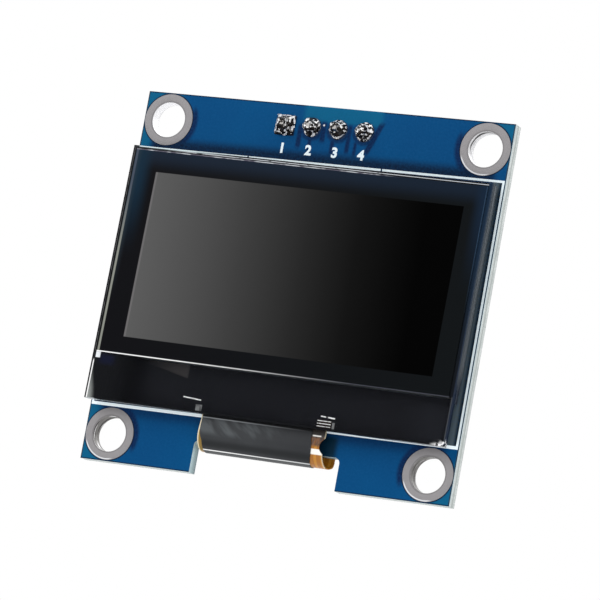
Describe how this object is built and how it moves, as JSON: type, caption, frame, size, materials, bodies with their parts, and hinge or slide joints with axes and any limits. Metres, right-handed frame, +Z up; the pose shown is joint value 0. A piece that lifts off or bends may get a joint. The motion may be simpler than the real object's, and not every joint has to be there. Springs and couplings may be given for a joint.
{
  "type": "small oled module",
  "caption": "Small display module: glass OLED panel taped to a blue circuit board, its flex circuit folded through a notch and soldered behind, with a pin header and corner mounting holes.",
  "frame": {"origin": "middle of the pattern of four mounting holes, on the circuit board's back face", "axes": "+X along the board to the right as the display is read, +Z up the board, and the display faces -Y; +Y is the mounting holes' axis, out of the back"},
  "size_m": [0.0354, 0.0114, 0.0336],
  "materials": {
    "laminate": "cut glass-epoxy edge",
    "solder_mask": "smooth, glossy blue coating",
    "white_print": "printed ink",
    "tinned_copper": "dull tin",
    "solder": "bright, uneven solder with dark flux",
    "pin_metal": "flash-plated square wire",
    "header_plastic": "moulded, fine grain",
    "tape_foam": "white adhesive foam",
    "clear_glass": "clear, cut edges",
    "polarizer_film": "near-black film, mirror smooth",
    "seal_resin": "cured resin",
    "emitter": "thin dark film",
    "desiccant_sheet": "white sheet",
    "shield_ink": "black, seen through the glass",
    "mark_metal": "thin bright film",
    "chip_silicon": "polished grey silicon",
    "polyimide": "amber film over copper",
    "fold_tape_grey": "dark grey tape with soft creases",
    "moulded_black": "moulded epoxy, fine grain",
    "resistor_top": "black overglaze between tinned ends",
    "capacitor_body": "tan ceramic between tinned ends"
  },
  "bodies": {
    "root": {"circuit_board": "laminate", "front_mask": "solder_mask", "rear_mask": "solder_mask", "board_print": "white_print", "hole_plating_1": "tinned_copper", "hole_plating_2": "tinned_copper", "hole_plating_3": "tinned_copper", "hole_plating_4": "tinned_copper", "pin_plating_1": "tinned_copper", "pin_plating_2": "tinned_copper", "pin_plating_3": "tinned_copper", "pin_plating_4": "tinned_copper", "solder_joint_1": "solder", "solder_joint_2": "solder", "solder_joint_3": "solder", "solder_joint_4": "solder", "header_pin_1": "pin_metal", "header_pin_2": "pin_metal", "header_pin_3": "pin_metal", "header_pin_4": "pin_metal", "header_strip": "header_plastic", "mounting_tape": "tape_foam", "rear_glass": "clear_glass", "desiccant": "desiccant_sheet", "seal": "seal_resin", "emitter_layers": "emitter", "front_glass": "clear_glass", "polarizer": "polarizer_film", "light_shield": "shield_ink", "glass_marks": "mark_metal", "driver_chip": "chip_silicon", "flex_circuit": "polyimide", "fold_tape": "fold_tape_grey", "flex_contacts": "solder", "flex_solder": "solder", "rear_pads": "tinned_copper", "regulator_body": "moulded_black", "regulator_leads": "tinned_copper", "resistor_1": "resistor_top", "resistor_2": "resistor_top", "resistor_3": "resistor_top", "resistor_4": "resistor_top", "resistor_5": "resistor_top", "resistor_6": "resistor_top", "capacitor_1": "capacitor_body", "capacitor_2": "capacitor_body", "capacitor_3": "capacitor_body", "capacitor_4": "capacitor_body", "capacitor_5": "capacitor_body", "capacitor_6": "capacitor_body", "capacitor_7": "capacitor_body", "capacitor_8": "capacitor_body", "part_solder": "solder"}
  },
  "joints": []
}
